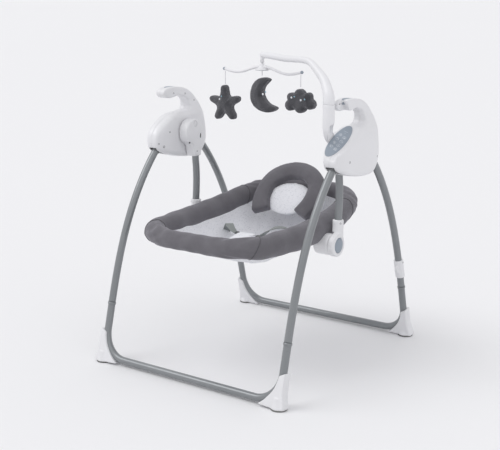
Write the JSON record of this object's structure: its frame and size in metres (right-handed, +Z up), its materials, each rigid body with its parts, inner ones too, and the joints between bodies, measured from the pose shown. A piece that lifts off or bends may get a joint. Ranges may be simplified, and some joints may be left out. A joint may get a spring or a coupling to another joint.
{
  "type": "baby swing",
  "caption": "Folding baby swing: padded ring seat hung on arms between two hub housings on bowed tube legs, with a turning toy mobile on a post.",
  "frame": {"origin": "on the floor, midway between the two hubs and midway between the front and rear feet", "axes": "+Z up, -Y to the foot end of the seat (the front), +X to the side with the mobile post and control panel"},
  "size_m": [0.694, 0.786, 0.9176],
  "materials": {
    "white_plastic": "satin moulded plastic",
    "grey_plastic": "matt blue-grey plastic",
    "dark_plastic": "matt dark plastic",
    "painted_tube": "satin blue-grey powder coat",
    "steel": "bare turned steel",
    "coil_winding": "enamelled copper winding",
    "circuit_board": "solder mask",
    "velour": "charcoal velour",
    "jersey": "white jersey with grey specks",
    "webbing": "grey-green webbing",
    "plush": "dark grey plush",
    "cord": "white twisted cord"
  },
  "bodies": {
    "hubs": {"hub_outer_right": "white_plastic", "hub_outer_left": "white_plastic", "hub_inner_right": "white_plastic", "hub_inner_left": "white_plastic", "pivot_bush_right": "dark_plastic", "pivot_bush_left": "dark_plastic", "control_panel": "grey_plastic", "drive_coil": "coil_winding", "circuit_board": "circuit_board", "speaker": "dark_plastic", "power_inlet": "dark_plastic", "mobile_post": "white_plastic"},
    "front_frame": {"front_leg_right": "painted_tube", "front_leg_left": "painted_tube", "front_leg_hinge_right": "dark_plastic", "front_leg_hinge_left": "dark_plastic", "front_floor_tube": "painted_tube", "front_foot_right": "white_plastic", "front_foot_left": "white_plastic"},
    "rear_frame": {"rear_leg_right": "painted_tube", "rear_leg_left": "painted_tube", "rear_leg_hinge_right": "dark_plastic", "rear_leg_hinge_left": "dark_plastic", "rear_floor_tube": "painted_tube", "rear_foot_right": "white_plastic", "rear_foot_left": "white_plastic", "leg_clip": "white_plastic"},
    "arms": {"arm_cover_right": "white_plastic", "arm_cover_left": "white_plastic", "swing_axle_right": "steel", "swing_axle_left": "steel", "arm_tube_right": "painted_tube", "arm_tube_left": "painted_tube", "arm_knuckle_right": "white_plastic", "arm_knuckle_left": "white_plastic", "drive_lever": "dark_plastic"},
    "seat": {"seat_bracket_right": "white_plastic", "seat_bracket_left": "white_plastic", "seat_tube_front": "painted_tube", "seat_tube_rear": "painted_tube", "ring_pad": "velour", "seat_sling": "jersey", "head_pillow": "velour", "crotch_pad": "jersey", "strap_right": "webbing", "strap_left": "webbing"},
    "mobile_arm": {"mobile_arm": "white_plastic"},
    "mobile_rotor": {"mobile_rotor": "white_plastic"},
    "fold_button_right": {"fold_button_right": "grey_plastic"},
    "fold_button_left": {"fold_button_left": "grey_plastic"},
    "recline_button_right": {"recline_button_right": "grey_plastic"},
    "recline_button_left": {"recline_button_left": "grey_plastic"},
    "star": {"star_toy": "plush", "star_cord": "cord"},
    "moon": {"moon_toy": "plush", "moon_cord": "cord"},
    "cloud": {"cloud_toy": "plush", "cloud_cord": "cord"}
  },
  "joints": [
    {"name": "front_fold", "type": "hinge", "parent": "hubs", "child": "front_frame", "pos_m": [0, -0.082, 0.642], "axis": [1, 0, 0], "range_deg": [0, 26]},
    {"name": "rear_fold", "type": "hinge", "parent": "hubs", "child": "rear_frame", "pos_m": [0, 0.082, 0.642], "axis": [1, 0, 0], "range_deg": [-26, 0]},
    {"name": "swing", "type": "hinge", "parent": "hubs", "child": "arms", "pos_m": [0, 0.003, 0.66], "axis": [1, 0, 0], "range_deg": [-15, 15]},
    {"name": "seat_recline", "type": "hinge", "parent": "arms", "child": "seat", "pos_m": [0, -0.008, 0.372], "axis": [1, 0, 0], "range_deg": [0, 24]},
    {"name": "recline_button_right_press", "type": "slide", "parent": "arms", "child": "recline_button_right", "axis": [-1, 0, 0], "range_m": [0, 0.004], "stiffness_N_per_m": 600},
    {"name": "recline_button_left_press", "type": "slide", "parent": "arms", "child": "recline_button_left", "axis": [1, 0, 0], "range_m": [0, 0.004], "stiffness_N_per_m": 600},
    {"name": "fold_button_right_press", "type": "slide", "parent": "hubs", "child": "fold_button_right", "axis": [0, 0, -1], "range_m": [0, 0.003], "stiffness_N_per_m": 600},
    {"name": "fold_button_left_press", "type": "slide", "parent": "hubs", "child": "fold_button_left", "axis": [0, 0, -1], "range_m": [0, 0.003], "stiffness_N_per_m": 600},
    {"name": "mobile_arm_lift", "type": "slide", "parent": "hubs", "child": "mobile_arm", "axis": [0, 0, 1], "range_m": [0, 0.03]},
    {"name": "mobile_turn", "type": "hinge", "parent": "mobile_arm", "child": "mobile_rotor", "pos_m": [0, 0.006, 0.862], "axis": [0, 0, 1], "continuous": true},
    {"name": "star_swing", "type": "hinge", "parent": "mobile_rotor", "child": "star", "pos_m": [-0.136, 0.006, 0.8562], "axis": [1, 0, 0], "range_deg": [-25, 25]},
    {"name": "moon_swing", "type": "hinge", "parent": "mobile_rotor", "child": "moon", "pos_m": [0, 0.006, 0.8637], "axis": [1, 0, 0], "range_deg": [-8, 8]},
    {"name": "cloud_swing", "type": "hinge", "parent": "mobile_rotor", "child": "cloud", "pos_m": [0.136, 0.006, 0.8562], "axis": [1, 0, 0], "range_deg": [-25, 25]}
  ],
  "couplings": [
    {"joint": "rear_fold", "follows": "front_fold", "ratio": -1}
  ]
}
